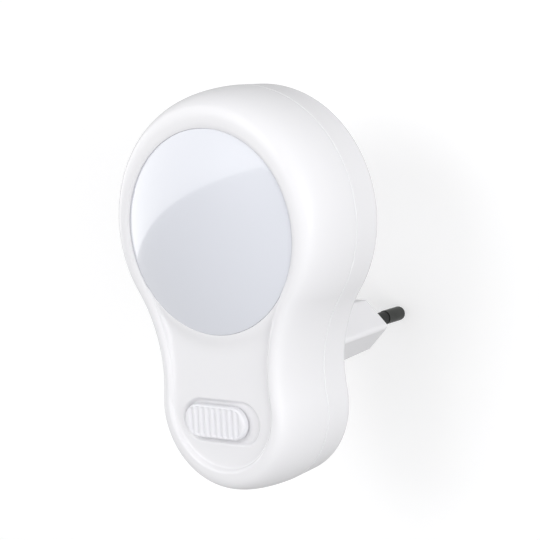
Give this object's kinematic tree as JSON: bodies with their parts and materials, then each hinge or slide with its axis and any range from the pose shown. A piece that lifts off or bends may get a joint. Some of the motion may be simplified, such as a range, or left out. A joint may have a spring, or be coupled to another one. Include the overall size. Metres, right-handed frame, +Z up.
{
  "type": "plug-in night light",
  "caption": "Plug-in wall night light: bulb-shaped housing with an opal domed lens, a ribbed slide switch in a recess and a round-pin mains plug moulded into its back.",
  "frame": {"origin": "centre of the plug's contact face, midway between the pins, where the face meets the wall socket", "axes": "+X to the right seen from the front, +Y into the wall along the pins (the lens faces -Y), +Z up"},
  "size_m": [0.0686, 0.0769, 0.1059],
  "materials": {
    "housing_plastic": "smooth satin moulding",
    "opal_lens": "smooth translucent opal",
    "inner_white": "matte",
    "board_laminate": "satin solder mask",
    "lamp_epoxy": "clear epoxy",
    "capacitor_case": "satin",
    "capacitor_can": "sleeved can",
    "diode_epoxy": "moulded epoxy",
    "resistor_coat": "lacquer",
    "fuse_coat": "lacquer",
    "pin_metal": "nickel plated",
    "sleeve_black": "satin",
    "carrier_grey": "moulded",
    "contact_brass": "bright rolled",
    "knob_plastic": "satin moulding",
    "lever_black": "moulded",
    "switch_steel": "tin plated",
    "switch_phenolic": "laminate",
    "screw_steel": "zinc plated"
  },
  "bodies": {
    "housing": {"front_shell": "housing_plastic", "back_shell": "housing_plastic", "lens_dome": "opal_lens", "reflector_dish": "inner_white", "circuit_board": "board_laminate", "led_lamps": "lamp_epoxy", "film_capacitor": "capacitor_case", "electrolytic_capacitor": "capacitor_can", "rectifier_diodes": "diode_epoxy", "series_resistors": "resistor_coat", "fuse_resistor": "fuse_coat", "plug_pin_left": "pin_metal", "plug_pin_right": "pin_metal", "pin_sleeve_left": "sleeve_black", "pin_sleeve_right": "sleeve_black", "pin_carrier": "carrier_grey", "contact_strip_left": "contact_brass", "contact_strip_right": "contact_brass", "slide_switch_frame": "switch_steel", "slide_switch_base": "switch_phenolic", "slide_switch_terminals": "contact_brass", "housing_screws": "screw_steel", "board_screws": "screw_steel"},
    "switch": {"switch_knob": "knob_plastic", "knob_retainer": "inner_white", "slide_switch_lever": "lever_black", "slide_switch_wiper": "contact_brass"}
  },
  "joints": [
    {"name": "switch_slide", "type": "slide", "parent": "housing", "child": "switch", "axis": [1, 0, 0], "range_m": [0, 0.003]}
  ]
}
